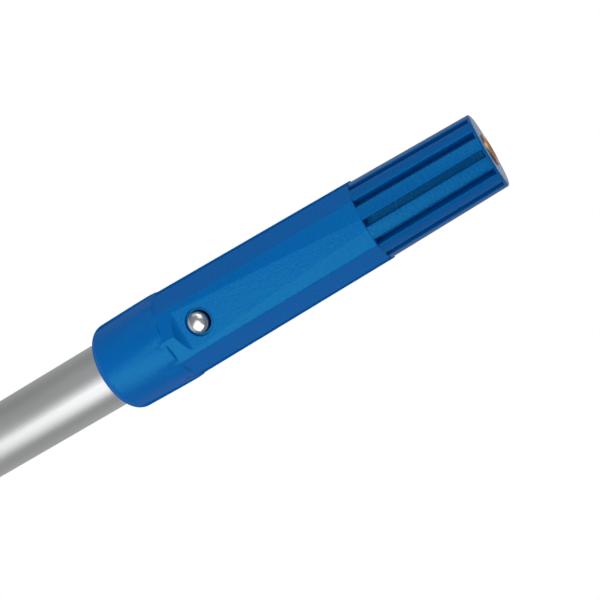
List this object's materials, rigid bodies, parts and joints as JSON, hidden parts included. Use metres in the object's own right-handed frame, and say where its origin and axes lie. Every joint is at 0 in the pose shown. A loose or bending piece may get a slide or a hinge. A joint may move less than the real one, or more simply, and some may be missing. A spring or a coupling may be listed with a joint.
{
  "type": "window cleaning pole",
  "caption": "Telescopic window cleaning pole with a twist clamp and a ribbed, tapered plastic tool cone that a spring button locks on the end of the inner tube.",
  "frame": {"origin": "middle of the butt cap's flat end face, on the pole's axis", "axes": "+Z along the pole from the butt to the tool cone; the snap button faces -Y; +X to the right when the button is seen from the front with the cone up"},
  "size_m": [0.0412, 0.0412, 0.7523],
  "materials": {
    "blue_plastic": "satin, very finely grained moulding",
    "black_plastic": "fine moulded grain",
    "white_acetal": "smooth and waxy",
    "rubber": "matt",
    "aluminium": "satin anodised, with a fine drawn grain along the tube",
    "chrome": "polished",
    "steel": "bright drawn",
    "brass": "turned and lightly tarnished"
  },
  "bodies": {
    "outer_section": {"outer_tube": "aluminium", "butt_cap": "black_plastic", "hand_grip": "rubber", "clamp_body": "black_plastic", "clamp_rivet_right": "steel", "clamp_rivet_left": "steel", "guide_bush": "white_acetal"},
    "collet": {"collet": "white_acetal"},
    "clamp_nut": {"clamp_nut": "blue_plastic", "wiper_ring": "rubber"},
    "glide_ring": {"glide_ring": "white_acetal"},
    "inner_section": {"inner_tube": "aluminium", "guide_plug": "black_plastic", "plug_pin": "steel", "tool_cone": "blue_plastic", "thread_insert": "brass", "button_spring": "steel"},
    "lock_button": {"lock_button": "chrome"}
  },
  "joints": [
    {"name": "collet_lift", "type": "slide", "parent": "outer_section", "child": "collet", "axis": [0, 0, 1], "range_m": [0, 0.0013]},
    {"name": "nut_twist", "type": "hinge", "parent": "collet", "child": "clamp_nut", "pos_m": [0, 0, 0.507], "axis": [0, 0, 1], "range_deg": [0, 150]},
    {"name": "extend", "type": "slide", "parent": "outer_section", "child": "glide_ring", "axis": [0, 0, 1], "range_m": [0, 0.429]},
    {"name": "inner_spin", "type": "hinge", "parent": "glide_ring", "child": "inner_section", "pos_m": [0, 0, 0.0343], "axis": [0, 0, 1], "continuous": true},
    {"name": "button_press", "type": "slide", "parent": "inner_section", "child": "lock_button", "axis": [0, 1, 0], "range_m": [0, 0.0036], "stiffness_N_per_m": 1500, "springref_m": -0.003, "deforming": ["button_spring"]}
  ],
  "couplings": [
    {"joint": "collet_lift", "follows": "nut_twist", "m_per_rad": 0.00047746}
  ]
}
